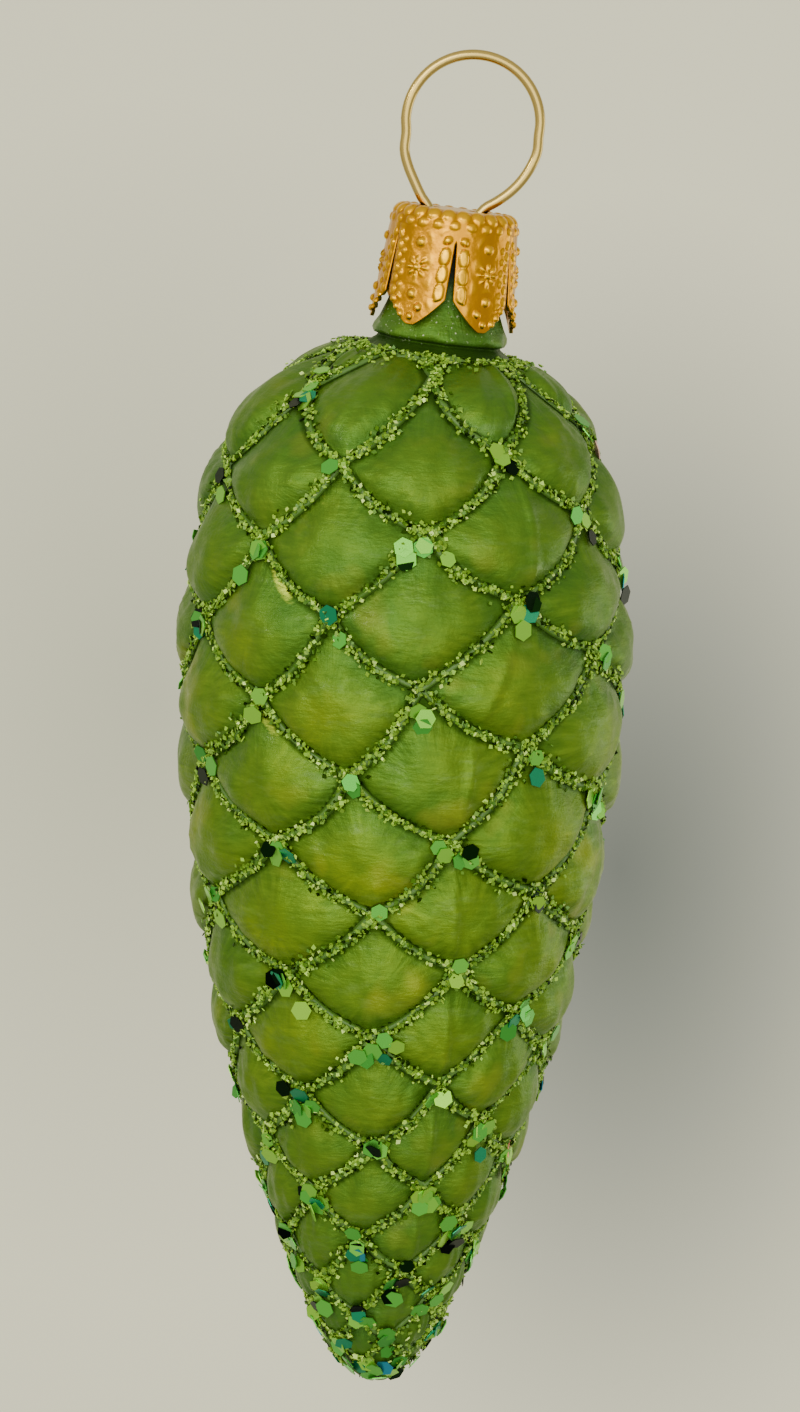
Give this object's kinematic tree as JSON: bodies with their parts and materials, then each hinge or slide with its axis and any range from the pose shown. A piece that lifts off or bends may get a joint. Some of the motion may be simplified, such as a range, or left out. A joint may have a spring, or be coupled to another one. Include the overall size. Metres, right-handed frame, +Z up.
{
  "type": "pine cone glass ornament",
  "caption": "Hanging ornament: blown glass body shaped as a closed pine cone, glitter net in its furrows, stamped gold cap with pointed tabs and a wire loop",
  "frame": {"origin": "inner top of the wire loop, the point that rests on a hook", "axes": "+Z up along the cone, whose tip points down; -Y towards the viewer of the picture; +X to the viewer's right"},
  "size_m": [0.0383, 0.0384, 0.112],
  "materials": {
    "lacquered_glass": "satin pearl lacquer, opaque",
    "glitter": "fine glitter grains and flakes in clear glue",
    "gold_sheet": "embossed gold sheet",
    "gold_wire": "bright drawn wire"
  },
  "bodies": {
    "root": {"glass_body": "lacquered_glass", "glitter_net": "glitter", "cap": "gold_sheet", "wire_hanger": "gold_wire"}
  },
  "joints": []
}
